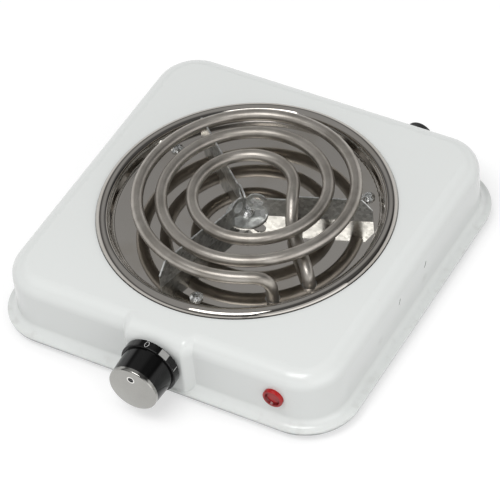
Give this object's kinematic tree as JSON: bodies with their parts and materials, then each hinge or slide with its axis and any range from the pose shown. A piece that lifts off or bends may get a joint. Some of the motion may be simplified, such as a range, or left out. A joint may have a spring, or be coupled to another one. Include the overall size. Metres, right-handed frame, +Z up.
{
  "type": "electric hot plate burner",
  "caption": "Square enamelled table-top hot plate with a spiral tube heating coil on a notched support over a polished drip pan, a thermostat knob and a pilot lamp.",
  "frame": {"origin": "on the table, under the middle of the footprint, knob and cord bush included", "axes": "+Z up, -Y towards the user (the knob side), +X to the user's right"},
  "size_m": [0.23, 0.255, 0.0607],
  "materials": {
    "white_enamel": "gloss",
    "galvanised_sheet": "dull zinc",
    "polished_steel": "polished",
    "zinc_plate": "bright zinc",
    "element_sheath": "satin nickel alloy",
    "black_plastic": "gloss",
    "satin_cap": "spun satin",
    "turned_steel": "turned",
    "red_lens": "gloss, translucent",
    "lamp_glass": "clear",
    "black_rubber": "matt",
    "steatite": "matt",
    "brass": "satin",
    "bimetal": "satin",
    "brown_sleeve": "matt",
    "blue_sleeve": "matt",
    "green_sleeve": "matt",
    "white_sleeve": "matt"
  },
  "bodies": {
    "stove": {"housing": "white_enamel", "base_plate": "galvanised_sheet", "base_lugs": "galvanised_sheet", "base_screws": "zinc_plate", "feet": "black_rubber", "drip_pan": "polished_steel", "pan_clips": "galvanised_sheet", "pan_screws": "zinc_plate", "pan_nuts": "zinc_plate", "heating_coil": "element_sheath", "element_plate": "galvanised_sheet", "element_beads": "steatite", "element_pins": "turned_steel", "coil_support": "zinc_plate", "hub_screw": "zinc_plate", "hub_nut": "zinc_plate", "thermostat_frame": "zinc_plate", "thermostat_nut": "zinc_plate", "thermostat_spacers": "steatite", "stack_rivet": "turned_steel", "bimetal_strip": "bimetal", "contact_leaf": "brass", "fixed_leaf": "brass", "lamp_lens": "red_lens", "neon_lamp": "lamp_glass", "lamp_clip": "turned_steel", "cord_gland": "black_rubber", "terminal_block": "steatite", "terminal_inserts": "brass", "terminal_screws": "zinc_plate", "block_screw": "zinc_plate", "earth_screw": "brass", "earth_nut": "brass", "neutral_wire": "blue_sleeve", "live_wire": "brown_sleeve", "switched_wire": "white_sleeve", "earth_wire": "green_sleeve", "lamp_lead_outer": "white_sleeve", "lamp_lead_inner": "white_sleeve"},
    "knob": {"knob_body": "black_plastic", "knob_cap": "satin_cap", "thermostat_shaft": "turned_steel"}
  },
  "joints": [
    {"name": "knob_turn", "type": "hinge", "parent": "stove", "child": "knob", "pos_m": [0.001, -0.116, 0.0278], "axis": [0, -1, 0], "range_deg": [0, 280]}
  ]
}
